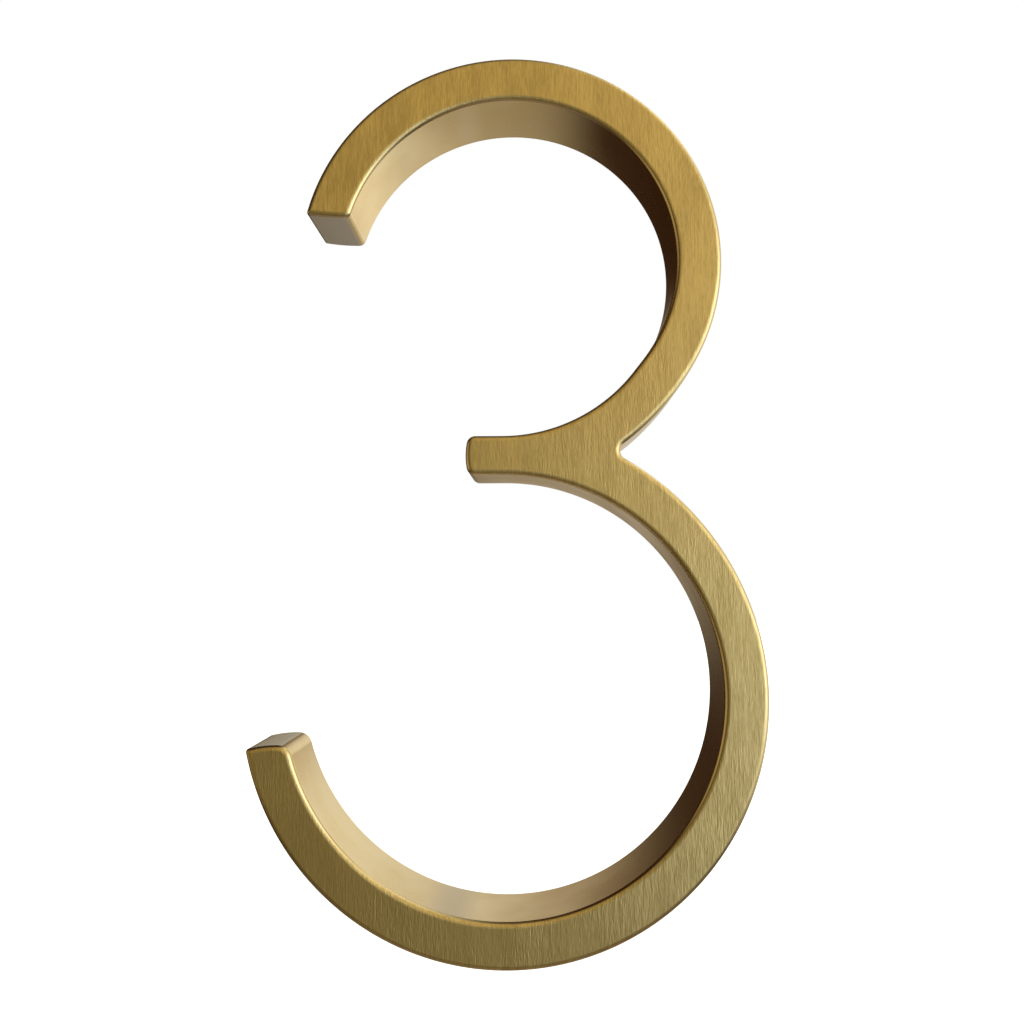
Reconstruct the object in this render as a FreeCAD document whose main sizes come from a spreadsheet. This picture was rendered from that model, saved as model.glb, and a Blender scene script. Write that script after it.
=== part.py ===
import FreeCAD, Part

# A door numeral three: two round bowls of even stroke that share a short middle arm.
# It is one solid casting, upright: X to the right, Z up, the face towards -Y, and the
# flat back in the plane Y = 0. The origin lies on the back, midway between the two
# tapped holes that hold the numeral to a door. All lengths are in millimetres.

import math
import os

import Sketcher

NODE = "door_number"
TOUCH = 1e-6

# Driving dimensions
SIZES = [
    ("figure_height", 127.0, "foot to crown"),
    ("depth", 10.8, "back to face"),
    ("lower_radius", 36.05, "outside of the lower bowl"),
    ("lower_stroke", 6.25, "metal at the foot"),
    ("upper_stroke", 6.25, "metal of the upper bowl"),
    ("bowl_offset", 0.8, "upper bowl to the right of the lower one"),
    ("arm_sink", 0.2, "arm's top below the top of the lower bowl's circle"),
    ("throat_drop", 1.35, "arm's top below the circle of the upper bay"),
    ("arm_thickness", 5.5, "height of the middle arm"),
    ("arm_reach", 4.8, "arm's end to the left of the lower bowl's centre"),
    ("run_slope", 52.0, "straight run between the upper bay and the arm, in degrees"),
    ("upper_leave", 28.0, "where the upper bowl leaves its circle, degrees below level"),
    ("upper_flare_radius", 36.4, "flatter arc from there down to the notch"),
    ("lower_leave", 18.0, "where the lower bowl leaves its circle, degrees above level"),
    ("lower_flare_radius", 38.6, "flatter arc from there up to the notch"),
    ("tip_rise", 7.2, "upper end's outer corner above the bowl's centre"),
    ("tip_tilt", 0.55, "its inner corner below the outer one"),
    ("tip_crown_radius", 30.0, "bow of the upper end"),
    ("tip_corner_round", 1.1, "inner corner of the upper end"),
    ("foot_drop", 7.4, "lower end's outer corner below the bowl's centre"),
    ("foot_tilt", 0.5, "its inner corner above the outer one"),
    ("foot_crown_radius", 16.0, "bow of the lower end"),
    ("foot_corner_round", 2.0, "inner corner of the lower end"),
    ("arm_crown_radius", 9.8, "bow of the arm's end"),
    ("arm_corner_round", 1.2, "both corners of the arm"),
    ("notch_round", 1.3, "bottom of the notch between the bowls"),
    ("corner_round", 0.75, "outer corners of the two open ends"),
    ("face_round", 0.7, "rounding where the sides meet the face"),
    ("tap_diameter", 3.3, "tapping drill for an M4 stud"),
    ("tap_depth", 7.5, "full depth of the tapped holes"),
]


def make_sheet(doc):
    sheet = doc.addObject("Spreadsheet::Sheet", "Sizes")
    for row, (name, value, note) in enumerate(SIZES, start=1):
        sheet.set(f"A{row}", name)
        sheet.set(f"B{row}", str(value))
        sheet.set(f"C{row}", note)
        sheet.setAlias(f"B{row}", name)
    doc.recompute()
    return sheet


# Places worked out from the driving dimensions. The outline's sketch starts at them, and
# the sketch's own constraints then hold every size.
class Places:
    def __init__(self, s):
        self.spacing = s.figure_height - (s.upper_stroke + s.lower_stroke) / 2
        above_arm = s.figure_height - 2 * s.lower_radius + s.arm_sink
        self.upper_outer = (above_arm + s.upper_stroke - s.throat_drop) / 2
        self.upper_inner = self.upper_outer - s.upper_stroke
        self.lower_inner = s.lower_radius - (s.arm_sink + s.arm_thickness + s.lower_stroke) / 2
        foot = -(self.spacing + s.lower_stroke) / 2
        crown = (self.spacing + s.upper_stroke) / 2
        self.low = (-s.bowl_offset / 2, foot + s.lower_radius)
        self.bay = (self.low[0], foot + s.lower_stroke + self.lower_inner)
        self.up = (s.bowl_offset / 2, crown - self.upper_outer)
        self.arm_top = foot + 2 * s.lower_radius - s.arm_sink
        self.arm_under = self.arm_top - s.arm_thickness
        self.arm_end = self.low[0] - s.arm_reach
        self.throat(s)
        self.notch(s)
        self.ends(s)

    def throat(self, s):
        # the throat: a straight run leaves the upper bay's circle and meets a smaller arc,
        # which ends level on the arm's top
        turn = math.radians(90 - s.run_slope)
        lean = (1 - math.sin(turn)) / math.cos(turn)
        run = (s.throat_drop - s.bowl_offset * lean) / (math.cos(turn) - math.sin(turn) * lean)
        shrink = (run * math.sin(turn) - s.bowl_offset) / math.cos(turn)
        self.throat_radius = self.upper_inner - shrink
        self.throat_centre = (self.low[0], self.arm_top + self.throat_radius)
        self.run_turn = turn

    def notch(self, s):
        # the two flare arcs cross at the notch's bottom
        self.upper_flare = polar(self.up, self.upper_outer - s.upper_flare_radius, -s.upper_leave)
        self.lower_flare = polar(self.low, s.lower_radius - s.lower_flare_radius, s.lower_leave)
        across = self.upper_flare[0] - self.lower_flare[0]
        along = self.upper_flare[1] - self.lower_flare[1]
        gap = math.hypot(across, along)
        share = (gap ** 2 + s.lower_flare_radius ** 2 - s.upper_flare_radius ** 2) / (2 * gap)
        side = math.sqrt(s.lower_flare_radius ** 2 - share ** 2)
        self.cross = (
            self.lower_flare[0] + (share * across + side * along) / gap,
            self.lower_flare[1] + (share * along - side * across) / gap,
        )

    def ends(self, s):
        tip = self.up[1] + s.tip_rise
        foot = self.low[1] - s.foot_drop
        self.tip_outer = left_of(self.up, self.upper_outer, tip)
        self.tip_inner = left_of(self.up, self.upper_inner, tip - s.tip_tilt)
        self.foot_outer = left_of(self.low, s.lower_radius, foot)
        self.foot_inner = left_of(self.bay, self.lower_inner, foot + s.foot_tilt)


def polar(centre, radius, degrees):
    angle = math.radians(degrees)
    return (centre[0] + radius * math.cos(angle), centre[1] + radius * math.sin(angle))


def left_of(centre, radius, level):
    # the circle's left point at this level
    return (centre[0] - math.sqrt(radius ** 2 - (level - centre[1]) ** 2), level)


def vector(point):
    return FreeCAD.Vector(point[0], point[1], 0)


def arc(centre, radius, start, end):
    # counter-clockwise from one point to the other
    circle = Part.Circle(vector(centre), FreeCAD.Vector(0, 0, 1), radius)
    first = math.atan2(start[1] - centre[1], start[0] - centre[0])
    last = math.atan2(end[1] - centre[1], end[0] - centre[0])
    if last <= first:
        last += 2 * math.pi
    return Part.ArcOfCircle(circle, first, last)


def crown(start, end, radius):
    # the shallow arc, counter-clockwise from start to end
    across = end[0] - start[0]
    along = end[1] - start[1]
    span = math.hypot(across, along)
    inward = math.sqrt(radius ** 2 - span ** 2 / 4)
    centre = (
        (start[0] + end[0]) / 2 - inward * along / span,
        (start[1] + end[1]) / 2 + inward * across / span,
    )
    return arc(centre, radius, start, end)


def line(start, end):
    return Part.LineSegment(vector(start), vector(end))


def plane(body, role):
    return next(f for f in body.Origin.OriginFeatures if f.Role == role)


# The outline's edges, in order round the numeral
(
    UPPER_OUTER, UPPER_FLARE, LOWER_FLARE, LOWER_OUTER, FOOT_END, LOWER_BAY, ARM_UNDER,
    ARM_END, ARM_TOP, THROAT, RUN, UPPER_BAY, TIP_END,
) = range(13)

# The points of an edge, and a sketch's own axes and origin
START, END, CENTRE = range(1, 4)
UPRIGHT_AXIS, LEVEL_AXIS = range(-2, 0)
ORIGIN = (LEVEL_AXIS, START)


def outline_edges(p, s):
    upper_leave = polar(p.up, p.upper_outer, -s.upper_leave)
    lower_leave = polar(p.low, s.lower_radius, s.lower_leave)
    bay_top = (p.bay[0], p.arm_under)
    throat_foot = (p.throat_centre[0], p.arm_top)
    run_low = polar(p.throat_centre, p.throat_radius, -math.degrees(p.run_turn))
    run_high = polar(p.up, p.upper_inner, -math.degrees(p.run_turn))
    arm_low = (p.arm_end, p.arm_under)
    arm_high = (p.arm_end, p.arm_top)
    return [
        arc(p.up, p.upper_outer, upper_leave, p.tip_outer),
        arc(p.upper_flare, s.upper_flare_radius, p.cross, upper_leave),
        arc(p.lower_flare, s.lower_flare_radius, lower_leave, p.cross),
        arc(p.low, s.lower_radius, p.foot_outer, lower_leave),
        crown(p.foot_inner, p.foot_outer, s.foot_crown_radius),
        arc(p.bay, p.lower_inner, p.foot_inner, bay_top),
        line(bay_top, arm_low),
        crown(arm_high, arm_low, s.arm_crown_radius),
        line(arm_high, throat_foot),
        arc(p.throat_centre, p.throat_radius, throat_foot, run_low),
        line(run_low, run_high),
        arc(p.up, p.upper_inner, run_high, p.tip_inner),
        crown(p.tip_outer, p.tip_inner, s.tip_crown_radius),
    ]


def bind(sketch, name, constraint, expression):
    index = sketch.addConstraint(constraint)
    sketch.renameConstraint(index, name)
    sketch.setExpression(f"Constraints.{name}", expression)


def join_outline(sketch):
    smooth = [
        (UPPER_FLARE, END, UPPER_OUTER, START),
        (LOWER_OUTER, END, LOWER_FLARE, START),
        (LOWER_BAY, END, ARM_UNDER, START),
        (ARM_TOP, END, THROAT, START),
        (THROAT, END, RUN, START),
        (RUN, END, UPPER_BAY, START),
    ]
    corners = [
        (UPPER_FLARE, START, LOWER_FLARE, END),
        (FOOT_END, END, LOWER_OUTER, START),
        (FOOT_END, START, LOWER_BAY, START),
        (ARM_UNDER, END, ARM_END, END),
        (ARM_END, START, ARM_TOP, START),
        (UPPER_BAY, END, TIP_END, END),
        (TIP_END, START, UPPER_OUTER, END),
        (UPPER_OUTER, CENTRE, UPPER_BAY, CENTRE),
    ]
    for pair in smooth:
        sketch.addConstraint(Sketcher.Constraint("Tangent", *pair))
    for pair in corners:
        sketch.addConstraint(Sketcher.Constraint("Coincident", *pair))
    sketch.addConstraint(Sketcher.Constraint("Horizontal", ARM_UNDER))
    sketch.addConstraint(Sketcher.Constraint("Horizontal", ARM_TOP))
    sketch.addConstraint(Sketcher.Constraint("Vertical", ARM_END, START, ARM_END, END))
    sketch.addConstraint(Sketcher.Constraint("Vertical", LOWER_OUTER, CENTRE, LOWER_BAY, CENTRE))
    sketch.addConstraint(Sketcher.Constraint("Vertical", LOWER_OUTER, CENTRE, THROAT, CENTRE))


def size_outline(sketch, p, s):
    def radius(name, edge, value, expression):
        bind(sketch, name, Sketcher.Constraint("Radius", edge, value), expression)

    def across(name, first, second, value, expression):
        bind(sketch, name, Sketcher.Constraint("DistanceX", *first, *second, value), expression)

    def rise(name, first, second, value, expression):
        bind(sketch, name, Sketcher.Constraint("DistanceY", *first, *second, value), expression)

    upper_radius = (
        "(Sizes.figure_height - 2 * Sizes.lower_radius + Sizes.arm_sink"
        " + Sizes.upper_stroke - Sizes.throat_drop) / 2"
    )
    radius("upper_outer", UPPER_OUTER, p.upper_outer, upper_radius)
    radius("upper_inner", UPPER_BAY, p.upper_inner, upper_radius + " - Sizes.upper_stroke")
    radius("lower_outer", LOWER_OUTER, s.lower_radius, "Sizes.lower_radius")
    radius("upper_flare", UPPER_FLARE, s.upper_flare_radius, "Sizes.upper_flare_radius")
    radius("lower_flare", LOWER_FLARE, s.lower_flare_radius, "Sizes.lower_flare_radius")
    radius("arm_crown", ARM_END, s.arm_crown_radius, "Sizes.arm_crown_radius")
    radius("foot_crown", FOOT_END, s.foot_crown_radius, "Sizes.foot_crown_radius")
    radius("tip_crown", TIP_END, s.tip_crown_radius, "Sizes.tip_crown_radius")

    half_height = "(Sizes.figure_height - (Sizes.upper_stroke + Sizes.lower_stroke) / 2) / 2"
    across("low_side", (LOWER_OUTER, CENTRE), ORIGIN, -p.low[0], "Sizes.bowl_offset / 2")
    rise("low_drop", (LOWER_OUTER, CENTRE), ORIGIN, -p.low[1],
         half_height + " + Sizes.lower_stroke / 2 - Sizes.lower_radius")
    across("up_side", ORIGIN, (UPPER_OUTER, CENTRE), p.up[0], "Sizes.bowl_offset / 2")
    rise("up_rise", ORIGIN, (UPPER_OUTER, CENTRE), p.up[1],
         half_height + " + Sizes.upper_stroke / 2 - " + upper_radius)
    rise("arm_level", (LOWER_OUTER, CENTRE), (ARM_TOP, END), p.arm_top - p.low[1],
         "Sizes.lower_radius - Sizes.arm_sink")
    rise("arm_height", (ARM_UNDER, END), (ARM_TOP, START), s.arm_thickness, "Sizes.arm_thickness")
    across("arm_length", (ARM_UNDER, END), (LOWER_OUTER, CENTRE), s.arm_reach, "Sizes.arm_reach")
    radius("lower_inner", LOWER_BAY, p.lower_inner,
           "Sizes.lower_radius - (Sizes.arm_sink + Sizes.arm_thickness + Sizes.lower_stroke) / 2")

    slope = Sketcher.Constraint("Angle", RUN, math.radians(s.run_slope))
    bind(sketch, "run_slope", slope, "Sizes.run_slope * 1 deg")
    start = polar(p.up, p.upper_outer, -s.upper_leave)
    rise("upper_leave", (UPPER_OUTER, START), (UPPER_OUTER, CENTRE), p.up[1] - start[1],
         upper_radius + " * sin(Sizes.upper_leave * 1 deg)")
    start = polar(p.low, s.lower_radius, s.lower_leave)
    rise("lower_leave", (LOWER_OUTER, CENTRE), (LOWER_OUTER, END), start[1] - p.low[1],
         "Sizes.lower_radius * sin(Sizes.lower_leave * 1 deg)")

    rise("tip_rise", (UPPER_OUTER, CENTRE), (UPPER_OUTER, END), s.tip_rise, "Sizes.tip_rise")
    rise("tip_tilt", (UPPER_BAY, END), (UPPER_OUTER, END), s.tip_tilt, "Sizes.tip_tilt")
    rise("foot_drop", (LOWER_OUTER, START), (LOWER_OUTER, CENTRE), s.foot_drop, "Sizes.foot_drop")
    rise("foot_tilt", (LOWER_OUTER, START), (LOWER_BAY, START), s.foot_tilt, "Sizes.foot_tilt")


def make_outline(body, p, s):
    sketch = body.newObject("Sketcher::SketchObject", "Outline")
    sketch.AttachmentSupport = (plane(body, "XZ_Plane"), "")
    sketch.MapMode = "FlatFace"
    sketch.addGeometry(outline_edges(p, s), False)
    join_outline(sketch)
    size_outline(sketch, p, s)
    return sketch


def make_hole_centres(body, p, s):
    # one centre at the crown and one at the foot, in the middle of the metal
    sketch = body.newObject("Sketcher::SketchObject", "HoleCentres")
    sketch.AttachmentSupport = (plane(body, "XZ_Plane"), "")
    sketch.MapMode = "FlatFace"
    half_height = "(Sizes.figure_height - (Sizes.upper_stroke + Sizes.lower_stroke) / 2) / 2"
    for index, side in enumerate((1, -1)):
        centre = FreeCAD.Vector(0, side * p.spacing / 2, 0)
        circle = Part.Circle(centre, FreeCAD.Vector(0, 0, 1), s.tap_diameter / 2)
        sketch.addGeometry(circle, False)
        sketch.addConstraint(Sketcher.Constraint("PointOnObject", index, CENTRE, UPRIGHT_AXIS))
        ends = (ORIGIN, (index, CENTRE)) if side > 0 else ((index, CENTRE), ORIGIN)
        level = Sketcher.Constraint("DistanceY", *ends[0], *ends[1], p.spacing / 2)
        bind(sketch, f"level_{index}", level, half_height)
        width = Sketcher.Constraint("Diameter", index, s.tap_diameter)
        bind(sketch, f"width_{index}", width, "Sizes.tap_diameter")
    return sketch


def upright_edges(shape, points, depth):
    # names of the edges that run from back to face at these corners of the outline
    names = []
    for point in points:
        distance = {}
        for number, edge in enumerate(shape.Edges, start=1):
            ends = [vertex.Point for vertex in edge.Vertexes]
            if len(ends) == 2 and abs(abs(ends[0].y - ends[1].y) - depth) < TOUCH:
                away = math.hypot(ends[0].x - point[0], ends[0].z - point[1])
                distance[away] = f"Edge{number}"
        names.append(distance[min(distance)])
    return names


def face_edges(shape, depth):
    # names of the edges all round the face
    names = []
    for number, edge in enumerate(shape.Edges, start=1):
        if all(abs(vertex.Point.y + depth) < TOUCH for vertex in edge.Vertexes):
            names.append(f"Edge{number}")
    return names


def add_round(body, name, base, edges, expression):
    rounding = body.newObject("PartDesign::Fillet", name)
    rounding.Base = (base, edges)
    rounding.setExpression("Radius", expression)
    body.Document.recompute()
    return rounding


def make_numeral(doc, s):
    p = Places(s)
    body = doc.addObject("PartDesign::Body", "DoorNumber")
    body.Label = NODE
    body.Placement = FreeCAD.Placement()

    outline = make_outline(body, p, s)
    pad = body.newObject("PartDesign::Pad", "Casting")
    pad.Profile = outline
    pad.setExpression("Length", "Sizes.depth")
    doc.recompute()

    arm_corners = [(p.arm_end, p.arm_top), (p.arm_end, p.arm_under)]
    corner_rounds = [
        ("NotchRound", [p.cross], "Sizes.notch_round"),
        ("TipCorner", [p.tip_inner], "Sizes.tip_corner_round"),
        ("FootCorner", [p.foot_inner], "Sizes.foot_corner_round"),
        ("ArmCorners", arm_corners, "Sizes.arm_corner_round"),
        ("OuterCorners", [p.tip_outer, p.foot_outer], "Sizes.corner_round"),
    ]
    feature = pad
    for name, corners, radius in corner_rounds:
        edges = upright_edges(feature.Shape, corners, s.depth)
        feature = add_round(body, name, feature, edges, radius)
    edges = face_edges(feature.Shape, s.depth)
    feature = add_round(body, "FaceRound", feature, edges, "Sizes.face_round")

    centres = make_hole_centres(body, p, s)
    doc.recompute()
    hole = body.newObject("PartDesign::Hole", "TappedHoles")
    hole.Profile = centres
    hole.Reversed = True
    hole.DepthType = "Dimension"
    hole.DrillPoint = "Angled"
    hole.setExpression("Diameter", "Sizes.tap_diameter")
    hole.setExpression("Depth", "Sizes.tap_depth")
    doc.recompute()
    body.Tip = hole
    doc.recompute()
    print("before the holes", round(feature.Shape.Volume, 2), "after", round(hole.Shape.Volume, 2))
    return body


def check(doc, body):
    for item in doc.Objects:
        bad = {"Invalid", "Error"} & set(item.State)
        if bad:
            raise RuntimeError(f"{item.Name} is {bad}")
    shape = body.Shape
    if shape.isNull() or not shape.isValid() or len(shape.Solids) != 1:
        raise RuntimeError("the numeral is not one valid solid")
    box = shape.optimalBoundingBox(False)
    print(body.Label, "volume", round(shape.Volume, 1), "faces", len(shape.Faces))
    print("x", round(box.XMin, 2), round(box.XMax, 2), "y", round(box.YMin, 2), round(box.YMax, 2),
          "z", round(box.ZMin, 2), round(box.ZMax, 2))


def main():
    doc = FreeCAD.newDocument("DoorNumber")
    sizes = make_sheet(doc)
    body = make_numeral(doc, sizes)
    check(doc, body)
    os.makedirs("parts", exist_ok=True)
    body.Shape.exportStep(f"parts/{body.Label}.step")


main()
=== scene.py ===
# %% [markdown]
# # A cast brass door number, the numeral three
#
# The object is one piece of brass: two round bowls that share a short arm. Its face is brushed in fine
# upright lines, its edges are softly rounded, its sides are satin, and its back is flat with two tapped
# holes. We load the engineering model first, because its box and its place decide where everything goes.

# %% Load the engineering model
import math

import bpy
from mathutils import Matrix, Vector
from mathutils.geometry import tessellate_polygon


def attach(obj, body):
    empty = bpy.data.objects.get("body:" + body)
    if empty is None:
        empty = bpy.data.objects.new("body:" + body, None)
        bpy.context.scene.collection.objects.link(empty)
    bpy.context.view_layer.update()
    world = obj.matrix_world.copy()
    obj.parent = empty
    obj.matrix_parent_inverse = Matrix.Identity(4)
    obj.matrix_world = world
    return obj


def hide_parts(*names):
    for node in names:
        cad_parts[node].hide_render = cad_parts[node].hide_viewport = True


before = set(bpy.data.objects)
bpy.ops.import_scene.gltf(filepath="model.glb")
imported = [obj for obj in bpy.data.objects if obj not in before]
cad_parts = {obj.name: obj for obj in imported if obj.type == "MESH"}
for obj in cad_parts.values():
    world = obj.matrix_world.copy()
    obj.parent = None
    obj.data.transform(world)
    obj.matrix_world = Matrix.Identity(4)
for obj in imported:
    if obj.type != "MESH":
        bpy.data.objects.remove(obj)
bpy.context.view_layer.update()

# %% [markdown]
# ## Sizes
#
# A numeral is drawn with a compass before it is drawn with anything else. These are the height, the depth,
# the strokes and the lower bowl of the real one in millimetres. Blender works in metres, so one value turns
# millimetres into metres at the very end, and the drawing itself never has to think about units.

# %% Height, depth and strokes in millimetres
MM = 0.001

FIGURE_HEIGHT = 127.0
DEPTH = 10.8
LOWER_RADIUS = 36.05
LOWER_STROKE = 6.25
UPPER_STROKE = 6.25
BOWL_OFFSET = 0.8
ARM_THICKNESS = 5.5
ARM_SINK = 0.2

HOLE_SPACING = FIGURE_HEIGHT - (UPPER_STROKE + LOWER_STROKE) / 2
FOOT_LEVEL = -(HOLE_SPACING + LOWER_STROKE) / 2
print(f"hole spacing {HOLE_SPACING:.3f} mm, foot at {FOOT_LEVEL:.2f} mm")

# %% [markdown]
# ## Sides of the outline
#
# Every side of the outline is either an arc or a straight run. We walk round the numeral with the metal on
# our left, so each side only needs to know two things: which way is into the metal, and how deep a point
# lies inside it. A side can then be redrawn at any inset, and that is how the rounded face edge is made
# later: the same outline, pulled in step by step. A curve object with a bevel is quicker to set up, but
# here we also want to know which way the metal looks at every point, for the shading.

# %% Arcs
class Arc:
    """Part of a circle. turn is 1 where the centre is on the metal's side, and -1 where it is outside."""

    def __init__(self, centre, radius, turn):
        self.centre, self.radius, self.turn = Vector(centre), radius, turn

    def inward(self, point):
        return (self.centre - point).normalized() * self.turn

    def depth_of(self, point):
        return (self.radius - (point - self.centre).length) * self.turn

    def between(self, start, end, inset, count):
        radius = self.radius - self.turn * inset
        first = math.atan2(*(start - self.centre).yx)
        sweep = math.atan2(*(end - self.centre).yx) - first
        if sweep * self.turn < 0:
            sweep += 2 * math.pi * self.turn
        angles = [first + sweep * k / count for k in range(count)]
        return [self.centre + Vector((math.cos(a), math.sin(a))) * radius for a in angles]


# %% Straight runs
class Run:
    """A straight side from one point towards another."""

    def __init__(self, start, end):
        self.start = Vector(start)
        along = (Vector(end) - self.start).normalized()
        self.into = Vector((-along.y, along.x))

    def inward(self, point):
        return self.into.copy()

    def depth_of(self, point):
        return (point - self.start).dot(self.into)

    def between(self, start, end, inset, count):
        return [start.lerp(end, k / count) for k in range(count)]


# %% Three ways to place a point or a bow
def polar(centre, radius, degrees):
    """The point at this angle on a circle."""
    angle = math.radians(degrees)
    return Vector(centre) + Vector((math.cos(angle), math.sin(angle))) * radius


def left_of(centre, radius, level):
    """The point at this level on the left half of a circle."""
    return Vector((centre[0] - math.sqrt(radius ** 2 - (level - centre[1]) ** 2), level))


def bowed(start, end, radius):
    """A shallow outward bow between two corners."""
    across = end - start
    into = Vector((-across.y, across.x)).normalized()
    rise = math.sqrt(radius ** 2 - across.length ** 2 / 4)
    return Arc((start + end) / 2 + into * rise, radius, 1)


# %% [markdown]
# ## The two bowls and the arm
#
# The lower bowl is a circle whose foot touches the base line. Its inner circle leaves the foot stroke below
# and runs level into the underside of the arm. The upper bowl is an even ring, and its size is whatever
# height the lower bowl leaves over. Working it out, instead of measuring it too, keeps the numeral closed
# when a single size is changed.

# %% Radii, centres and levels
THROAT_DROP = 1.35
ARM_REACH = 4.8

upper_outer = (FIGURE_HEIGHT - 2 * LOWER_RADIUS + ARM_SINK + UPPER_STROKE - THROAT_DROP) / 2
upper_inner = upper_outer - UPPER_STROKE
lower_inner = LOWER_RADIUS - (ARM_SINK + ARM_THICKNESS + LOWER_STROKE) / 2

low = Vector((-BOWL_OFFSET / 2, FOOT_LEVEL + LOWER_RADIUS))
bay = Vector((low.x, FOOT_LEVEL + LOWER_STROKE + lower_inner))
up = Vector((BOWL_OFFSET / 2, FOOT_LEVEL + FIGURE_HEIGHT - upper_outer))
arm_top = FOOT_LEVEL + 2 * LOWER_RADIUS - ARM_SINK
arm_under = arm_top - ARM_THICKNESS
arm_end = low.x - ARM_REACH
print(f"upper bowl radius {upper_outer:.2f}, arm from {arm_under:.2f} to {arm_top:.2f}")

# %% [markdown]
# ## The throat
#
# A short straight run and a slightly smaller arc, the throat, carry the upper bowl's inner side down to the
# arm's top. All three have to be tangent, or the brushed face would show a kink in its bright edge. Two
# unknowns, the run's length and the throat's radius, are solved from the slope of the run.

# %% Solve the throat
RUN_SLOPE = 52.0

throat_angle = math.radians(90 - RUN_SLOPE)
offset_share = (1 - math.sin(throat_angle)) / math.cos(throat_angle)
drop_left = THROAT_DROP - BOWL_OFFSET * offset_share
run_length = drop_left / (math.cos(throat_angle) - math.sin(throat_angle) * offset_share)
throat_radius = upper_inner - (run_length * math.sin(throat_angle) - BOWL_OFFSET) / math.cos(throat_angle)
throat = Vector((low.x, arm_top + throat_radius))
print(f"throat radius {throat_radius:.2f} mm after a run of {run_length:.2f} mm")

# %% [markdown]
# ## Shoulders and open ends
#
# On the right both bowls flatten a little before they meet in the notch, as the shoulders of a letter do.
# Each shoulder is a larger circle that touches its bowl where it leaves it. At the left the strokes are cut
# off: the tip nearly level, the foot nearly level too, each a little out of true and slightly bowed, as
# ends that are dressed by hand are.

# %% Shoulders, tip and foot
UPPER_LEAVE = 28.0
UPPER_FLARE_RADIUS = 36.4
LOWER_LEAVE = 18.0
LOWER_FLARE_RADIUS = 38.6
TIP_RISE = 7.2
TIP_TILT = 0.55
FOOT_DROP = 7.4
FOOT_TILT = 0.5

upper_flare = polar(up, upper_outer - UPPER_FLARE_RADIUS, -UPPER_LEAVE)
lower_flare = polar(low, LOWER_RADIUS - LOWER_FLARE_RADIUS, LOWER_LEAVE)
tip_level = up.y + TIP_RISE
foot_level = low.y - FOOT_DROP
tip_outer = left_of(up, upper_outer, tip_level)
tip_inner = left_of(up, upper_inner, tip_level - TIP_TILT)
foot_outer = left_of(low, LOWER_RADIUS, foot_level)
foot_inner = left_of(bay, lower_inner, foot_level + FOOT_TILT)
print(f"tip cut at {tip_level:.2f} mm, foot cut at {foot_level:.2f} mm")

# %% [markdown]
# ## Corners, found with a ball
#
# Where two sides meet at an angle, a foundry pattern is rounded. To round a corner we slide a ball along it
# until it touches both sides; the ball's centre gives the arc. The same search also works when the inset is
# larger than the ball, and then the corner closes to a point. That lets the corners of the face stay crisp
# while the edge round runs past them.

# %% Slide the ball
SEARCH_STEPS = 12


def touch(side_a, side_b, depth, near):
    """The point that lies equally deep inside both sides, found from a point near it."""
    point = near.copy()
    for _ in range(SEARCH_STEPS):
        a, b = side_a.inward(point), side_b.inward(point)
        short = Vector((depth - side_a.depth_of(point), depth - side_b.depth_of(point)))
        point += Matrix((a, b)).inverted() @ short
    return point


# %% Corner of two sides
class Corner:
    """A rounded corner between two sides: near is its sharp point, and hollow is True in a notch."""

    def __init__(self, side_a, side_b, near, radius, hollow=False):
        self.sides, self.near, self.radius, self.hollow = (side_a, side_b), near, radius, hollow

    def arc_at(self, inset):
        if self.hollow:
            centre, radius, way = touch(*self.sides, -self.radius, self.near), self.radius + inset, 1
        else:
            deep = max(self.radius, inset)
            centre, radius, way = touch(*self.sides, deep, self.near), deep - inset, -1
        first, last = (side.inward(centre) * way for side in self.sides)
        return centre, radius, first, last

    def points(self, inset, count):
        centre, radius, first, last = self.arc_at(inset)
        sweep = first.angle_signed(last)
        spokes = [first.copy() for _ in range(count)]
        for k, spoke in enumerate(spokes):
            spoke.rotate(Matrix.Rotation(-sweep * k / count, 2))
        return [(centre + spoke * radius, spoke if not self.hollow else -spoke) for spoke in spokes]

    def ends(self, inset):
        centre, radius, first, last = self.arc_at(inset)
        return centre + first * radius, centre + last * radius


# %% [markdown]
# ## The thirteen sides
#
# Now the compass work is turned into sides, in the order in which we meet them on the walk: over the upper
# bowl to the tip, back inside to the arm, round the arm's end, inside the lower bowl to the foot, and home
# along the outside. The last lines find the bottom of the notch with the same ball as the corners.

# %% Lay out the sides
TIP_CROWN_RADIUS = 30.0
FOOT_CROWN_RADIUS = 16.0
ARM_CROWN_RADIUS = 9.8

arm_low = Vector((arm_end, arm_under))
arm_high = Vector((arm_end, arm_top))
run_high = polar(up, upper_inner, RUN_SLOPE - 90)
run_low = polar(throat, throat_radius, RUN_SLOPE - 90)
throat_foot = Vector((throat.x, arm_top))
bay_top = Vector((bay.x, arm_under))

side_upper_flare = Arc(upper_flare, UPPER_FLARE_RADIUS, 1)
side_upper_outer = Arc(up, upper_outer, 1)
side_tip = bowed(tip_outer, tip_inner, TIP_CROWN_RADIUS)
side_upper_bay = Arc(up, upper_inner, -1)
side_run = Run(run_high, run_low)
side_throat = Arc(throat, throat_radius, -1)
side_arm_top = Run(throat_foot, arm_high)
side_arm_end = bowed(arm_high, arm_low, ARM_CROWN_RADIUS)
side_arm_under = Run(arm_low, bay_top)
side_lower_bay = Arc(bay, lower_inner, -1)
side_foot = bowed(foot_inner, foot_outer, FOOT_CROWN_RADIUS)
side_lower_outer = Arc(low, LOWER_RADIUS, 1)
side_lower_flare = Arc(lower_flare, LOWER_FLARE_RADIUS, 1)

# %% The notch
NOTCH_ROUND = 1.3
NEAR_THE_NOTCH = Vector((15.0, 6.0))

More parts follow.
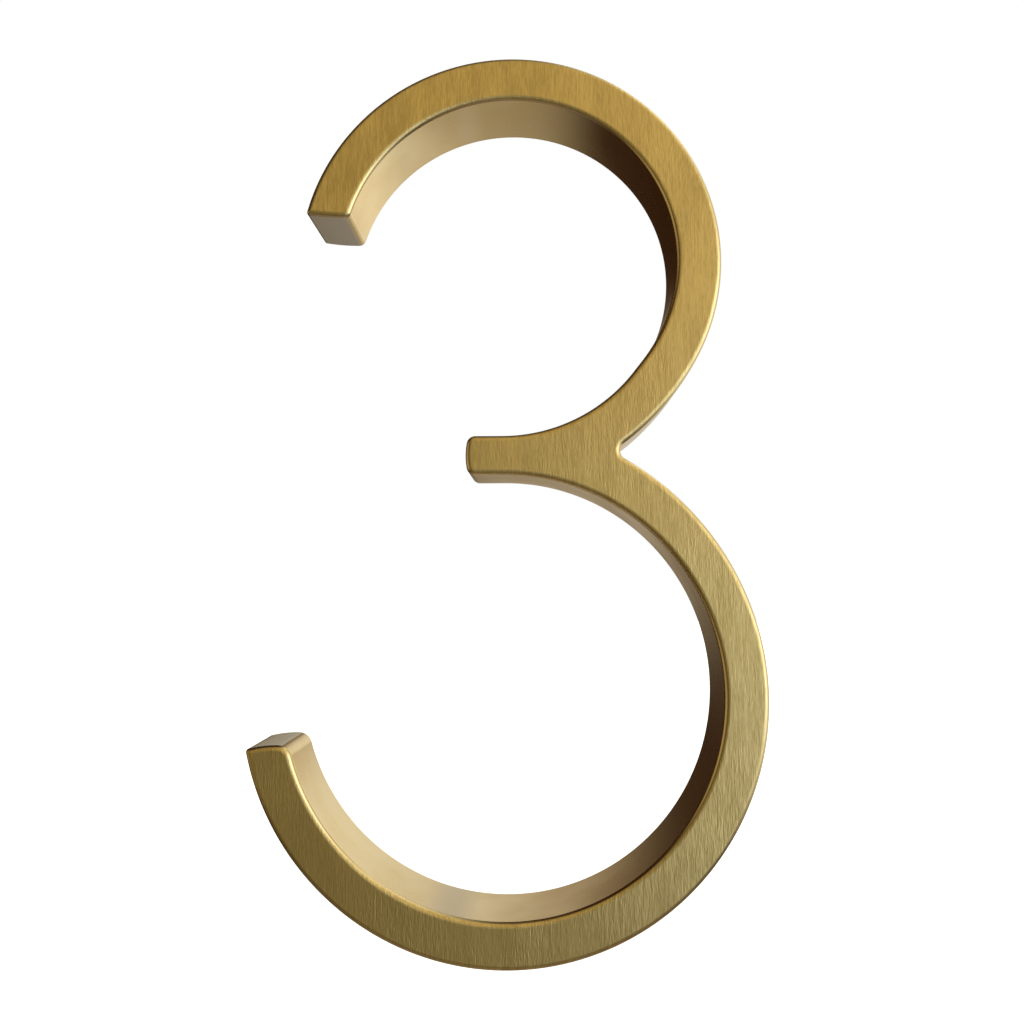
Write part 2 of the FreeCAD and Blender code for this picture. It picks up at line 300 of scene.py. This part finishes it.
notch_point = touch(side_lower_flare, side_upper_flare, 0.0, NEAR_THE_NOTCH)
notch = Corner(side_lower_flare, side_upper_flare, notch_point, NOTCH_ROUND, hollow=True)
print(f"notch at {notch_point.x:.2f}, {notch_point.y:.2f} mm")

# %% [markdown]
# ## Walk round the outline
#
# Each side is listed with the corner or the smooth joint that ends it. A smooth joint needs only its point,
# because both sides share one direction there. The walk gives a closed ring of points and, for each, the
# direction that looks straight out of the metal. Those directions become the shading normals, so that the
# curves shine as true curves and not as facets.

# %% The walk
TIP_CORNER = 1.1
FOOT_CORNER = 2.0
ARM_CORNER = 1.2
OUTER_CORNER = 0.45

WALK = [
    (side_upper_flare, polar(up, upper_outer, -UPPER_LEAVE)),
    (side_upper_outer, Corner(side_upper_outer, side_tip, tip_outer, OUTER_CORNER)),
    (side_tip, Corner(side_tip, side_upper_bay, tip_inner, TIP_CORNER)),
    (side_upper_bay, run_high),
    (side_run, run_low),
    (side_throat, throat_foot),
    (side_arm_top, Corner(side_arm_top, side_arm_end, arm_high, ARM_CORNER)),
    (side_arm_end, Corner(side_arm_end, side_arm_under, arm_low, ARM_CORNER)),
    (side_arm_under, bay_top),
    (side_lower_bay, Corner(side_lower_bay, side_foot, foot_inner, FOOT_CORNER)),
    (side_foot, Corner(side_foot, side_lower_outer, foot_outer, OUTER_CORNER)),
    (side_lower_outer, polar(low, LOWER_RADIUS, LOWER_LEAVE)),
    (side_lower_flare, notch),
]
print("sides on the walk:", len(WALK))

# %% How many points each side gets
SPACING = 0.35
FEWEST_POINTS = 4


def joint(side, end, inset):
    """Where a side stops and where the next one begins, at this inset."""
    if isinstance(end, Corner):
        return end.ends(inset)
    point = end + side.inward(end) * inset
    return point, point


def count_between(side, start, end):
    """A straight run needs no points of its own, and an arc gets one for every bit of its length."""
    if isinstance(side, Run):
        return 1
    sweep = abs((start - side.centre).angle_signed(end - side.centre))
    reflex = (start - side.centre).cross(end - side.centre) * side.turn < 0
    sweep = 2 * math.pi - sweep if reflex else sweep
    return max(FEWEST_POINTS, round(sweep * side.radius / SPACING))


counts = []
begin = joint(*WALK[-1], 0.0)[1]
for side, end in WALK:
    stop, after = joint(side, end, 0.0)
    counts.append(count_between(side, begin, stop))
    begin = after
print("points on each side:", counts)

# %% Draw the ring at any inset
CORNER_STEPS = 8


def outline(inset):
    """The ring of points at this inset, each with the direction that looks out of the metal."""
    ring = []
    begin = joint(*WALK[-1], inset)[1]
    for (side, end), count in zip(WALK, counts):
        stop, after = joint(side, end, inset)
        ring += [(p, -side.inward(p)) for p in side.between(begin, stop, inset, count)]
        if isinstance(end, Corner):
            ring += end.points(inset, CORNER_STEPS)
        begin = after
    return ring


print("points round the outline:", len(outline(0.0)))

# %% [markdown]
# ## From outline to solid
#
# A real casting of this kind has an edge that is ground soft at the face and left nearly sharp at the back.
# We stack rings of the outline from back to face: a tiny break at the back, a straight wall, then a quarter
# round that pulls the ring in as it comes forward. Lofting rings was chosen over the bevel tool, because
# each ring's direction is known exactly and the highlights on the round stay clean.

# %% The section from back to face
ROUND_ACROSS = 0.8
ROUND_DOWN = 0.6
BACK_BREAK = 0.1
WALL_STEPS = 5
ROUND_STEPS = 12

wall_height = DEPTH - ROUND_DOWN - BACK_BREAK
straight = [(0.0, BACK_BREAK + wall_height * k / WALL_STEPS, 0.0) for k in range(WALL_STEPS + 1)]
rounding = []
for k in range(1, ROUND_STEPS + 1):
    share = math.pi / 2 * k / ROUND_STEPS
    inset = ROUND_ACROSS * (1 - math.cos(share))
    forward = DEPTH - ROUND_DOWN * (1 - math.sin(share))
    tilt = math.atan2(math.sin(share) / ROUND_DOWN, math.cos(share) / ROUND_ACROSS)
    rounding.append((inset, forward, tilt))
section = [(BACK_BREAK, 0.0, 0.0)] + straight + rounding
print("rings from back to face:", len(section))

# %% [markdown]
# ## Tapped holes in the back
#
# The numeral is held by two studs that screw into its back. Each hole is drilled, tapped M4 and lightly
# countersunk. A thread is one groove that winds inwards, so a grid of points round and down the hole can
# carry it: the groove's radius depends on the depth plus the share of a turn. A grid needs no cutting at
# all, so its faces stay even.

# %% The wall of one threaded hole
THREAD_PITCH = 0.7
CORE_RADIUS = 1.65
GROOVE_RADIUS = 1.98
MOUTH_RADIUS = 2.2
TAP_DEPTH = 7.5
RUN_OUT = 0.6
FLANK_SLOPE = 1.3
CREST_WIDTH = 0.2


def hole_radius(depth, share):
    """Radius of the hole's wall at this depth and this share of a full turn."""
    wave = (depth / THREAD_PITCH + share) % 1.0
    groove = min(1.0, max(0.0, FLANK_SLOPE * (1 - abs(2 * wave - 1)) - CREST_WIDTH))
    fade = min(1.0, max(0.0, (TAP_DEPTH - RUN_OUT - depth) / THREAD_PITCH))
    thread = CORE_RADIUS + (GROOVE_RADIUS - CORE_RADIUS) * groove * fade
    return max(thread, MOUTH_RADIUS - depth)


print("turns of thread:", round(TAP_DEPTH / THREAD_PITCH, 1))

# %% Rings down the hole
HOLE_STEPS = 48
THREAD_ROWS = 6
DRILL_HALF_ANGLE = 59
POINT_DEPTH = CORE_RADIUS / math.tan(math.radians(DRILL_HALF_ANGLE))


def hole_rings(level):
    """Rings of points from the mouth down to the drill's point, for a hole at this height."""
    rows = round(TAP_DEPTH / THREAD_PITCH * THREAD_ROWS)
    rings = []
    for row in range(rows + 1):
        depth = TAP_DEPTH * row / rows
        ring = []
        for k in range(HOLE_STEPS):
            share = k / HOLE_STEPS
            radius = hole_radius(depth, share)
            angle = 2 * math.pi * share
            ring.append(Vector((radius * math.cos(angle), -depth, level + radius * math.sin(angle))))
        rings.append(ring)
    return rings


print("rings in each hole:", len(hole_rings(0.0)))

# %% [markdown]
# ## Put the mesh together
#
# Points, faces and normals are collected in plain lists and handed over at once. The two flat ends are
# filled by tessellation, which copes with the holes. Every corner of every face gets its own normal, so the
# flat face stays dead flat right up to the round, as a ground face does. Near a sharp corner the inner
# rings close to a point, and corners of a face that fall together there are left out.

# %% Lists for points, faces and normals
points, faces, normals = [], [], []
BACK, FRONT = Vector((0, 1, 0)), Vector((0, -1, 0))
AUTO = Vector((0, 0, 0))
SAME_PLACE = 1e-7


def add_ring(ring):
    """Adds a ring given in millimetres and returns the numbers of its points."""
    start = len(points)
    points.extend(p * MM for p in ring)
    return list(range(start, len(points)))


def add_face(corners, directions):
    """Adds a face, and leaves out a corner that lies on the one before it."""
    apart = [(points[corners[k]] - points[corners[k - 1]]).length > SAME_PLACE for k in range(len(corners))]
    if sum(apart) > 2:
        faces.append(tuple(c for c, keep in zip(corners, apart) if keep))
        normals.append(tuple(d for d, keep in zip(directions, apart) if keep))


# %% Strips and caps
def add_strip(lower, upper, lower_normals, upper_normals):
    """Faces between two rings of equal count."""
    for k in range(len(lower)):
        n = (k + 1) % len(lower)
        corners = (lower[k], lower[n], upper[n], upper[k])
        add_face(corners, (lower_normals[k], lower_normals[n], upper_normals[n], upper_normals[k]))


def add_cap(rings, normal):
    """Fills the flat area inside the first ring and outside the others."""
    order = [i for ring in rings for i in ring]
    for triangle in tessellate_polygon([[points[i] for i in ring] for ring in rings]):
        a, b, c = (order[i] for i in triangle)
        facing = (points[b] - points[a]).cross(points[c] - points[a]).dot(normal)
        faces.append((a, b, c) if facing > 0 else (a, c, b))
        normals.append((normal,) * 3)


# %% Walls, round and face
rings, outs = [], []
for inset, forward, tilt in section:
    flat = outline(inset)
    rings.append(add_ring([Vector((p.x, -forward, p.y)) for p, _ in flat]))
    outs.append([Vector((o.x, 0, o.y)) * math.cos(tilt) + FRONT * math.sin(tilt) for _, o in flat])

broken = [(o + BACK).normalized() for o in outs[0]]
add_strip(rings[0], rings[1], broken, broken)
for k in range(1, len(rings) - 1):
    add_strip(rings[k], rings[k + 1], outs[k], outs[k + 1])
add_cap([rings[-1]], FRONT)
print("faces on the walls, the round and the face:", len(faces))

# %% Holes and back
mouths = []
for level in (HOLE_SPACING / 2, -HOLE_SPACING / 2):
    hole = [add_ring(ring) for ring in hole_rings(level)]
    mouths.append(hole[0])
    sunk = []
    for k in range(HOLE_STEPS):
        angle = 2 * math.pi * k / HOLE_STEPS
        sunk.append((BACK - Vector((math.cos(angle), 0, math.sin(angle)))).normalized())
    for row, (upper, lower) in enumerate(zip(hole, hole[1:])):
        add_strip(upper, lower, sunk if row == 0 else [AUTO] * HOLE_STEPS, [AUTO] * HOLE_STEPS)
    bottom = add_ring([Vector((0, -TAP_DEPTH - POINT_DEPTH, level))])[0]
    last = hole[-1]
    for k in range(HOLE_STEPS):
        faces.append((last[k], last[(k + 1) % HOLE_STEPS], bottom))
        normals.append((AUTO,) * 3)
add_cap([rings[0]] + mouths, BACK)
print("points", len(points), "faces", len(faces))

# %% [markdown]
# ## Hand the mesh to Blender
#
# The lists become one mesh, because the real numeral is one casting. The normals that we collected are laid
# over Blender's own. Two lines then say what the object is in the engineering model: it rides on the root,
# and it takes the place of the plain numeral there, which is hidden.

# %% Make the mesh
mesh = bpy.data.meshes.new("brass_numeral")
mesh.from_pydata(points, [], faces)
mesh.shade_smooth()
mesh.normals_split_custom_set([tuple(n) for corner_normals in normals for n in corner_normals])
numeral = bpy.data.objects.new("brass_numeral", mesh)
bpy.context.collection.objects.link(numeral)
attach(numeral, "root")
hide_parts("door_number")
print("numeral box in mm:", [round(v / MM, 2) for v in numeral.dimensions])

# %% [markdown]
# ## A desk for wiring nodes
#
# Materials and the studio's light are both trees of nodes. Wiring them by hand in code takes three lines
# for each node, so a small helper does it in one. It takes each input by its name, with an underscore for
# every space, or by its number where several inputs share a name: _0 is the first one.

# %% Helper for node trees
def new_tree(name):
    material = bpy.data.materials.new(name)
    material.use_nodes = True
    tree = material.node_tree
    tree.nodes.clear()
    return material, tree


class Desk:
    """Adds nodes to a tree and wires them. An input is a plain value or another node's output."""

    def __init__(self, tree):
        self.tree = tree

    def add(self, kind, settings=None, **inputs):
        node = self.tree.nodes.new(kind)
        for name, value in (settings or {}).items():
            setattr(node, name, value)
        for name, value in inputs.items():
            socket = node.inputs[int(name[1:])] if name[0] == "_" else node.inputs[name.replace("_", " ")]
            if isinstance(value, bpy.types.NodeSocket):
                self.tree.links.new(value, socket)
            else:
                socket.default_value = value
        return node

    def math(self, operation, a, b=0.0):
        return self.add("ShaderNodeMath", {"operation": operation}, _0=a, _1=b).outputs[0]

    def vector(self, operation, a, b):
        return self.add("ShaderNodeVectorMath", {"operation": operation}, _0=a, _1=b)

    def spread(self, value, low_in, high_in, low_out=0.0, high_out=1.0):
        """Carries a value smoothly from one range to another, and holds it still beyond the ends."""
        node = self.add("ShaderNodeMapRange", {"interpolation_type": "SMOOTHSTEP"}, _0=value)
        for number, bound in enumerate((low_in, high_in, low_out, high_out), start=1):
            node.inputs[number].default_value = bound
        return node.outputs[0]

    def blend(self, share, a, b):
        """Mixes two colours."""
        return self.add("ShaderNodeMix", {"data_type": "RGBA"}, _0=share, _6=a, _7=b).outputs[2]

    def mix(self, share, a, b):
        """Mixes two plain values."""
        return self.add("ShaderNodeMix", {"data_type": "FLOAT"}, _0=share, _2=a, _3=b).outputs[0]


# %% [markdown]
# ## Skins of the brass
#
# All of the metal is one alloy, but it has four skins. The face was dragged along an abrasive belt, which
# leaves upright lines of many lengths. The round and the walls were only buffed, so they reflect more
# evenly. The two cut ends at the left were filed and never polished, so they are dull; their pale, nearly
# white tint is painted light, which brightens the faces that look straight up or down at the left. The back
# was ground flat on a coarse stone. One material holds all four: how squarely the surface looks forwards,
# backwards or up and down, and how far left it lies, tell the shader which skin it is on. The blend across
# the round comes for free. The belt is soft and laps over edges that run across it, so the brushing goes a
# little further over level edges.

# %% Which skin is where
brass, tree = new_tree("brass")
desk = Desk(tree)
BELT_LAP = 0.35

place = desk.add("ShaderNodeTexCoord").outputs["Object"]
shape = desk.add("ShaderNodeNewGeometry").outputs["Normal"]
facing = desk.add("ShaderNodeSeparateXYZ", Vector=shape).outputs["Y"]
level = desk.math("ABSOLUTE", desk.add("ShaderNodeSeparateXYZ", Vector=shape).outputs["Z"])
sideways = desk.add("ShaderNodeSeparateXYZ", Vector=place).outputs["X"]
height = desk.add("ShaderNodeSeparateXYZ", Vector=place).outputs["Z"]

lapped = desk.math("SUBTRACT", facing, desk.math("MULTIPLY", level, BELT_LAP))
on_face = desk.spread(lapped, -0.93, -0.995)
on_round = desk.spread(facing, -0.03, -0.25)
on_back = desk.spread(facing, 0.5, 0.9)
on_left = desk.spread(sideways, -0.003, -0.012)
# The mask for the filed ends: it carries their real dull roughness and also their painted light tint.
on_end = desk.math("MULTIPLY", desk.spread(level, 0.93, 0.99), on_left)
near_foot = desk.spread(height, -0.025, -0.055)

# %% [markdown]
# ## Lines, clouds and grain
#
# The lines on the face come from noise that is squeezed sideways and drawn out upwards. Three sizes are
# needed: hair lines, wider drags a few millimetres long, and broad bands where the belt bit deeper. The
# back has lines too, but aslant, since it was ground and not brushed. A soft cloud makes the buffed walls a
# little uneven, and a very fine grain keeps them satin. Image textures could do this as well, but noise
# never repeats and needs no unwrapping.

# %% Noise for the marks
BELT_LEAN = 1.2
STONE_LEAN = -38.0


def lines(width, length, detail, lean=BELT_LEAN):
    """Noise drawn into lines of this width and length in metres, leaning by this many degrees."""
    scale = (1 / width, 1 / width, 1 / length)
    rotation = (0, math.radians(lean), 0)
    settings = {"vector_type": "POINT"}
    drawn_out = desk.add("ShaderNodeMapping", settings, Vector=place, Rotation=rotation, Scale=scale)
    return noise(drawn_out.outputs[0], 1.0, detail, 0.6)


def noise(vector, scale, detail, roughness):
    """Plain noise, with more small marks the higher its detail and roughness are."""
    settings = {"Scale": scale, "Detail": detail, "Roughness": roughness}
    return desk.add("ShaderNodeTexNoise", None, Vector=vector, **settings).outputs[0]


hair = lines(0.00020, 0.0013, 2.0)
drag = lines(0.00045, 0.0040, 2.0)
band = lines(0.0030, 0.0150, 1.0)
ground = lines(0.00030, 0.0060, 3.0, lean=STONE_LEAN)
cloud = noise(place, 90.0, 3.0, 0.5)
grain = noise(place, 2600.0, 2.0, 0.6)

fine_lines = desk.math("ADD", desk.math("MULTIPLY", hair, 0.35), desk.math("MULTIPLY", drag, 0.4))
worn_lines = desk.math("ADD", fine_lines, desk.math("MULTIPLY", band, 0.25))
line_share = desk.spread(worn_lines, 0.36, 0.64)

# %% [markdown]
# ## Colour of the brass
#
# Brass gets its colour from what it reflects, tinted by the metal. The bottoms of the brushed lines are
# darker and greener than their crests. The buffed walls are paler than the face. The filed ends are tinted
# nearly white: painted light that makes them paler still.

# %% Tints
deep_brass = (0.64, 0.48, 0.200, 1.0)
face_brass = (0.86, 0.67, 0.310, 1.0)
side_brass = (0.83, 0.68, 0.40, 1.0)
side_brass_dull = (0.78, 0.60, 0.31, 1.0)
# Painted light: a nearly white tint that brightens the filed ends, which look straight up or down.
filed_end_painted_light = (0.98, 0.95, 0.88, 1.0)
back_brass = (0.62, 0.47, 0.24, 1.0)
back_brass_bright = (0.72, 0.55, 0.29, 1.0)

face_tint = desk.blend(line_share, deep_brass, face_brass)
side_tint = desk.blend(desk.spread(cloud, 0.3, 0.7), side_brass, side_brass_dull)
# Painted light: the filed ends get the nearly white tint.
side_tint = desk.blend(on_end, side_tint, filed_end_painted_light)
back_tint = desk.blend(desk.spread(ground, 0.3, 0.7), back_brass, back_brass_bright)
tint = desk.blend(on_face, side_tint, face_tint)
tint = desk.blend(on_back, tint, back_tint)

# %% [markdown]
# ## Gloss
#
# Roughness says how wide a highlight spreads. The buffed walls are the glossiest, the face is duller in its
# lines than on its crests, and the filed ends are the dullest of all.

# %% Roughness of each skin
SIDE_ROUGH_LEAST, SIDE_ROUGH_MOST = 0.23, 0.29
LINE_ROUGH, CREST_ROUGH = 0.42, 0.30
END_ROUGH = 0.75
ROUND_ROUGH = 0.26
BACK_ROUGH = 0.45

face_rough = desk.spread(worn_lines, 0.3, 0.7, LINE_ROUGH, CREST_ROUGH)
side_rough = desk.spread(cloud, 0.3, 0.7, SIDE_ROUGH_LEAST, SIDE_ROUGH_MOST)
rough = desk.mix(on_end, side_rough, END_ROUGH)
rough = desk.mix(on_round, rough, ROUND_ROUGH)
rough = desk.mix(on_face, rough, face_rough)
rough = desk.mix(on_back, rough, BACK_ROUGH)

# %% [markdown]
# ## Relief of the scratches
#
# A scratch also tilts the surface. The same noise that tints the metal is used as a height, so tint and
# relief belong together as they do in a real scratch. The belt bit deeper in some clouds than in others,
# and deepest near the foot. The relief is less than a tenth of a millimetre: it changes how the light
# breaks and not the outline, so a bump is enough.

# %% Height of the marks
LINE_DEPTH = 0.00005
GRAIN_DEPTH = 0.000004
FOOT_BITE = 1.4

bite = desk.math("MULTIPLY", desk.spread(cloud, 0.35, 0.65, 0.6, 1.2), desk.mix(near_foot, 1.0, FOOT_BITE))
face_height = desk.math("ADD", desk.math("MULTIPLY", hair, 0.55), desk.math("MULTIPLY", drag, 0.45))
face_height = desk.math("MULTIPLY", face_height, desk.math("MULTIPLY", on_face, bite))
back_height = desk.math("MULTIPLY", desk.math("MULTIPLY", ground, 0.4), on_back)
skin_height = desk.math("ADD", face_height, back_height)


def relief(height, depth, strength, **below):
    """Tilts the surface by a height, on top of a relief that lies below it."""
    bump = desk.add("ShaderNodeBump", None, Strength=strength, Distance=depth, Height=height, **below)
    return bump.outputs[0]


line_relief = relief(skin_height, LINE_DEPTH, 1.0)
full_relief = relief(grain, GRAIN_DEPTH, 0.15, Normal=line_relief)

# %% [markdown]
# ## The brass itself
#
# The last node is the metal. Fine parallel lines stretch a highlight across themselves, so the face is also
# given an uneven gloss, with its direction laid across the numeral. On the walls that would look wrong, and
# the share of it fades with the face.

# %% Put the skins together
FACE_STRETCH = 0.5

stretch = desk.math("MULTIPLY", on_face, FACE_STRETCH)
metal = desk.add(
    "ShaderNodeBsdfPrincipled", None, Base_Color=tint, Metallic=1.0, Roughness=rough, Normal=full_relief,
    Anisotropic=stretch,
)
across = desk.add("ShaderNodeCombineXYZ", None, X=1.0, Y=0.0, Z=0.0).outputs[0]
tree.links.new(across, metal.inputs["Tangent"])
desk.add("ShaderNodeOutputMaterial", None, Surface=metal.outputs[0])
mesh.materials.append(brass)
print("nodes in the brass:", len(tree.nodes))

# %% [markdown]
# ## The room
#
# The numeral is seen on clean white, but metal only shows what it reflects. So the sky has two jobs. The
# camera sees it as plain white. The metal sees a dim room with soft round panels in it. Area lamps could do
# the same, but panels in the sky are endlessly far away: each needs only a direction, and none of them can
# stand in the camera's way.

# %% The sky and one soft panel
world = bpy.data.worlds.new("studio_room")
world.use_nodes = True
bpy.context.scene.world = world
world.node_tree.nodes.clear()
room = Desk(world.node_tree)
looking = room.add("ShaderNodeTexCoord").outputs["Generated"]
hung = []


def panel(light, title, towards, half_angle, soft_angle, colour):
    """Adds a soft round panel to the room's light: its title, its middle, its size and its colour."""
    hung.append(title)
    middle = tuple(Vector(towards).normalized())
    nearness = room.vector("DOT_PRODUCT", looking, middle).outputs["Value"]
    edge = math.cos(math.radians(half_angle + soft_angle))
    full = math.cos(math.radians(max(half_angle - soft_angle, 0)))
    share = room.spread(nearness, edge, full)
    glow = room.add("ShaderNodeVectorMath", {"operation": "SCALE"}, _0=colour, Scale=share).outputs["Vector"]
    return room.vector("ADD", light, glow).outputs["Vector"]


# %% [markdown]
# ## Hang the panels
#
# Each panel stands in one direction as seen from the numeral, and its title says what it plays. A flat face
# mirrors only the part of the room in front of it, so three panels round the camera light most of the face:
# a golden card above, a dim olive card below and a cool window to the right. The rounded edge and the walls
# look to the sides, up, down and back. They mirror the other six, and the lit sheet that comes later.

# %% Nine panels
light = room.add("ShaderNodeCombineXYZ", None, X=0.030, Y=0.012, Z=0.005).outputs[0]
light = panel(light, "big window on the right", (1.0, 0.1, 0.45), 55, 15, (0.72, 0.71, 0.60))
light = panel(light, "bright lamp on the right", (0.9, -0.6, 0.2), 18, 14, (0.90, 0.90, 0.82))
light = panel(light, "skylight", (0.5, 0.1, 0.9), 15, 10, (0.80, 0.78, 0.65))
light = panel(light, "golden card above the camera", (0.1, -0.8, 0.6), 30, 12, (0.52, 0.42, 0.19))
light = panel(light, "olive card below the camera", (-0.1, -1.0, -0.3), 25, 15, (0.15, 0.14, 0.06))
light = panel(light, "cool window beside the camera", (0.6, -0.8, -0.15), 20, 12, (0.95, 1.10, 1.25))
light = panel(light, "low card behind", (0.05, 0.85, -0.6), 20, 15, (0.30, 0.28, 0.22))
light = panel(light, "warm wall on the left", (-1.0, -0.3, 0.0), 20, 15, (0.42, 0.36, 0.19))
light = panel(light, "pale floor below", (0.0, 0.0, -1.0), 40, 20, (0.20, 0.18, 0.15))
print("panels in the room:", len(hung))

# %% White for the camera, the room for the metal
room_light = room.add("ShaderNodeBackground", None, Color=light, Strength=1.0).outputs[0]
white = room.add("ShaderNodeBackground", None, Color=(1, 1, 1, 1), Strength=1.0).outputs[0]
seen = room.add("ShaderNodeLightPath").outputs["Is Camera Ray"]
both = room.add("ShaderNodeMixShader", None, _0=seen, _1=room_light, _2=white).outputs[0]
room.add("ShaderNodeOutputWorld", None, Surface=both)

# %% [markdown]
# ## Floor
#
# A floor gives the other views something to stand over. It lies well below the numeral, as a hall floor
# lies below a door, and it is a pale card with a glow of its own so that it meets the white without a seam.
# The metal doesn't mirror it, because the room already has a panel for the floor.

# %% Helper for flat studio gear
def flat_sheet(name, corners, material):
    """A flat sheet with four corners in metres."""
    sheet_mesh = bpy.data.meshes.new(name)
    sheet_mesh.from_pydata(corners, [], [(0, 1, 2, 3)])
    sheet_mesh.materials.append(material)
    sheet = bpy.data.objects.new(name, sheet_mesh)
    bpy.context.collection.objects.link(sheet)
    return sheet


# %% Pale card floor
FLOOR_LEVEL = -0.30
FLOOR_HALF = 6.0
FLOOR_GLOW = 0.95

card, card_tree = new_tree("pale_card")
card_desk = Desk(card_tree)
paint = card_desk.add(
    "ShaderNodeBsdfPrincipled", None, Base_Color=(0.9, 0.9, 0.9, 1), Roughness=0.9,
    Emission_Color=(1, 1, 1, 1), Emission_Strength=FLOOR_GLOW,
)
card_desk.add("ShaderNodeOutputMaterial", None, Surface=paint.outputs[0])

floor_edges = ((-1, -1), (1, -1), (1, 1), (-1, 1))
floor = flat_sheet("floor", [(x * FLOOR_HALF, y * FLOOR_HALF, FLOOR_LEVEL) for x, y in floor_edges], card)
floor.visible_glossy = False
floor.visible_diffuse = False
print("floor at", FLOOR_LEVEL, "m")

# %% [markdown]
# ## A lit sheet close behind
#
# The inner walls of the bowls mirror what stands behind the numeral. Here the endless sky fails us: the
# right wall of the upper bowl and the bottom of the lower bowl mirror nearly the same direction, yet the
# first is dark brown and the second is bright. Only something near can do that, because two places then
# look at different parts of it. So a sheet of tracing paper, lit from behind, stands a quarter of a metre
# away, a little to the right. It is bright and neutral in its middle and fades to a warm rim. The rest of
# the sheet is clear, and the camera doesn't see it at all.

# %% Tracing paper
SHEET_BEHIND = 0.25
SHEET_MIDDLE = (0.075, SHEET_BEHIND, 0.033)
SHEET_REACH = (0.095, 1.0, 0.063)
FADE_BEGINS, FADE_ENDS = 0.8, 1.75
sheet_rim = (1.0, 0.80, 0.52, 1.0)
sheet_heart = (0.75, 0.74, 0.67, 1.0)

paper, paper_tree = new_tree("lit_sheet")
paper_desk = Desk(paper_tree)
spot = paper_desk.add("ShaderNodeTexCoord").outputs["Object"]
spot = paper_desk.vector("SUBTRACT", spot, SHEET_MIDDLE).outputs[0]
spot = paper_desk.vector("DIVIDE", spot, SHEET_REACH).outputs[0]
away = paper_desk.add("ShaderNodeVectorMath", {"operation": "LENGTH"}, _0=spot).outputs["Value"]
lit_share = paper_desk.spread(away, FADE_ENDS, FADE_BEGINS)
lit_tint = paper_desk.blend(lit_share, sheet_rim, sheet_heart)
shine = paper_desk.add("ShaderNodeEmission", None, Color=lit_tint, Strength=lit_share).outputs[0]
clear = paper_desk.add("ShaderNodeBsdfTransparent").outputs[0]
glowing = paper_desk.add("ShaderNodeAddShader", None, _0=shine, _1=clear).outputs[0]
paper_desk.add("ShaderNodeOutputMaterial", None, Surface=glowing)

# %% Stand the sheet up
SHEET_LEFT, SHEET_RIGHT = -0.2, 0.35
SHEET_BOTTOM, SHEET_TOP = -0.2, 0.3

lower_edge = [(SHEET_LEFT, SHEET_BEHIND, SHEET_BOTTOM), (SHEET_RIGHT, SHEET_BEHIND, SHEET_BOTTOM)]
upper_edge = [(SHEET_RIGHT, SHEET_BEHIND, SHEET_TOP), (SHEET_LEFT, SHEET_BEHIND, SHEET_TOP)]
sheet = flat_sheet("lit_sheet", lower_edge + upper_edge, paper)
sheet.visible_camera = False
sheet.visible_diffuse = False
sheet.visible_shadow = False
print(f"lit sheet {SHEET_BEHIND} m behind the numeral")

# %% [markdown]
# ## Camera
#
# The numeral was photographed from close by: we see the inside of the upper bowl from below and the inside
# of the lower bowl from above, and the nearer face hides part of the walls. Such strong perspective can't
# be made with a long lens, so the camera stands only 13 cm in front and uses a wide one. It is turned 2
# degrees to the left and tipped 5 degrees up: AHEAD is where it looks, and RIGHT and UPWARD are its other
# two axes. The view transform is the plain one, which leaves the white ground white.

# %% Camera close in front
EYE = Vector((4.9, -127.78, -11.68)) * MM
RIGHT = Vector((0.99943, 0.03399, 0.0)).normalized()
AHEAD = Vector((-0.03388, 0.99624, 0.07975)).normalized()
UPWARD = RIGHT.cross(AHEAD)
SENSOR = 36.0
FOCAL_IN_PIXELS = 850.0
PICTURE_WIDTH = 1024

camera_data = bpy.data.cameras.new("camera")
camera_data.sensor_width = SENSOR
camera_data.lens = FOCAL_IN_PIXELS / PICTURE_WIDTH * SENSOR
camera_data.clip_start = 0.01
camera_data.clip_end = 50.0
camera = bpy.data.objects.new("camera", camera_data)
axes = Matrix((RIGHT, UPWARD, -AHEAD)).transposed()
camera.matrix_world = Matrix.Translation(EYE) @ axes.to_4x4()
bpy.context.collection.objects.link(camera)
bpy.context.scene.camera = camera
bpy.context.scene.view_settings.view_transform = "Standard"
print(f"lens {camera_data.lens:.2f} mm at {EYE.length / MM:.0f} mm")
